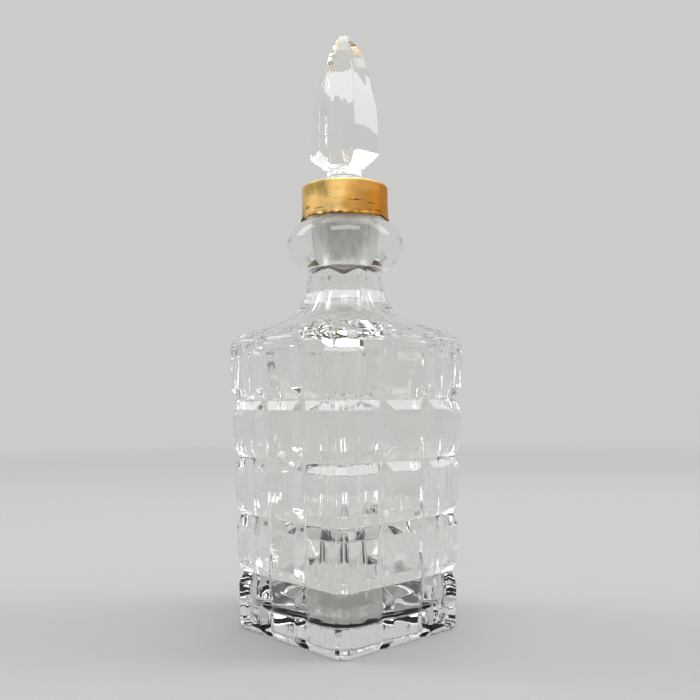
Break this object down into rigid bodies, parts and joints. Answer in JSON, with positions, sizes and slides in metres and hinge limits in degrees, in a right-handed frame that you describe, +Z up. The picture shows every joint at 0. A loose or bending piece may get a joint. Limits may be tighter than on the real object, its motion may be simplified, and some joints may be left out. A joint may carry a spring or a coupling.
{
  "type": "decanter",
  "caption": "Square clear-glass decanter with cut-block sides, hollow shoulder and ringed neck, closed by a lift-out stopper with a gilt cap and a pointed faceted finial.",
  "frame": {"origin": "centre of the base, on the surface that the decanter stands on", "axes": "+Z up along the neck's axis; the four faces of the body look along X and Y; the corner between +X and -Y is the one that points at the camera in the picture"},
  "size_m": [0.0858, 0.0858, 0.2969],
  "materials": {
    "clear_glass": "polished clear lead glass",
    "worn_gilt_brass": "worn satin gilding",
    "milky_plastic": "translucent milky moulding",
    "soft_seal": "matt",
    "pale_cement": "matt cement"
  },
  "bodies": {
    "decanter": {"bottle": "clear_glass"},
    "stopper": {"finial": "clear_glass", "cap_shell": "worn_gilt_brass", "stopper_plug": "milky_plastic", "lip_gasket": "soft_seal", "bonding_cement": "pale_cement"}
  },
  "joints": [
    {"name": "stopper_lift", "type": "slide", "parent": "decanter", "child": "stopper", "axis": [0, 0, 1], "range_m": [0, 0.06]}
  ]
}
